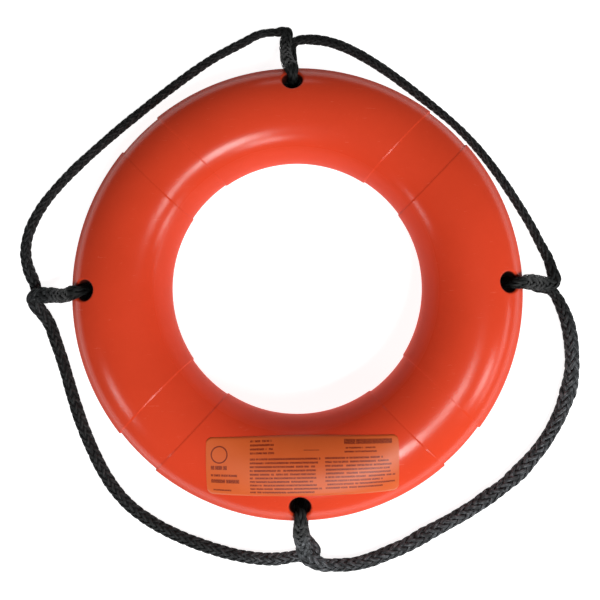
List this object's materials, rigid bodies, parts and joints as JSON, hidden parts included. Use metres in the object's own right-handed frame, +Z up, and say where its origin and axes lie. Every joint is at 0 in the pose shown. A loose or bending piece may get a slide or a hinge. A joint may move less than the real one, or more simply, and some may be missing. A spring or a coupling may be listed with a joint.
{
  "type": "life ring",
  "caption": "Hard-shell orange life ring, a foam-filled ring buoy with a printed label and a black braided grab line threaded through rope holes round its rim.",
  "frame": {"origin": "The middle of the ring, on the surface that it lies on, with the front face up.", "axes": "Z up, along the ring's own axis. Y towards the top of the picture, so that the label is on the -Y side, and X to its right."},
  "size_m": [0.6707, 0.6555, 0.089],
  "materials": {
    "orange_polyethylene": "satin-gloss moulded polyethylene",
    "cream_foam": "rigid closed-cell foam",
    "plug_plastic": "smooth moulded plug",
    "printed_film": "satin printed film",
    "black_braid": "hollow braided rope"
  },
  "bodies": {
    "ring": {"shell": "orange_polyethylene", "foam_core": "cream_foam", "fill_plug": "plug_plastic", "vent_plug": "plug_plastic", "label": "printed_film", "line_loop_top": "black_braid", "line_loop_right": "black_braid", "line_loop_bottom": "black_braid", "line_loop_left": "black_braid", "line_tuck_top": "black_braid", "line_tuck_right": "black_braid", "line_tuck_bottom": "black_braid", "line_tuck_left": "black_braid"},
    "upper_right_bight": {"line_bight_upper_right": "black_braid"},
    "lower_right_bight": {"line_bight_lower_right": "black_braid"},
    "lower_left_bight": {"line_bight_lower_left": "black_braid"},
    "upper_left_bight": {"line_bight_upper_left": "black_braid"}
  },
  "joints": [
    {"name": "upper_right_lift", "type": "hinge", "parent": "ring", "child": "upper_right_bight", "pos_m": [-0.002, 0.311, 0.0115], "axis": [0.7002, -0.7139, 0], "range_deg": [0, 55]},
    {"name": "lower_right_lift", "type": "hinge", "parent": "ring", "child": "lower_right_bight", "pos_m": [0.304, -0.001, 0.0115], "axis": [-0.6976, -0.7164, 0], "range_deg": [0, 60]},
    {"name": "lower_left_lift", "type": "hinge", "parent": "ring", "child": "lower_left_bight", "pos_m": [0.007, -0.306, 0.0115], "axis": [-0.7273, 0.6863, 0], "range_deg": [0, 60]},
    {"name": "upper_left_lift", "type": "hinge", "parent": "ring", "child": "upper_left_bight", "pos_m": [-0.312, -0.005, 0.0115], "axis": [0.7003, 0.7139, 0], "range_deg": [0, 75]}
  ]
}
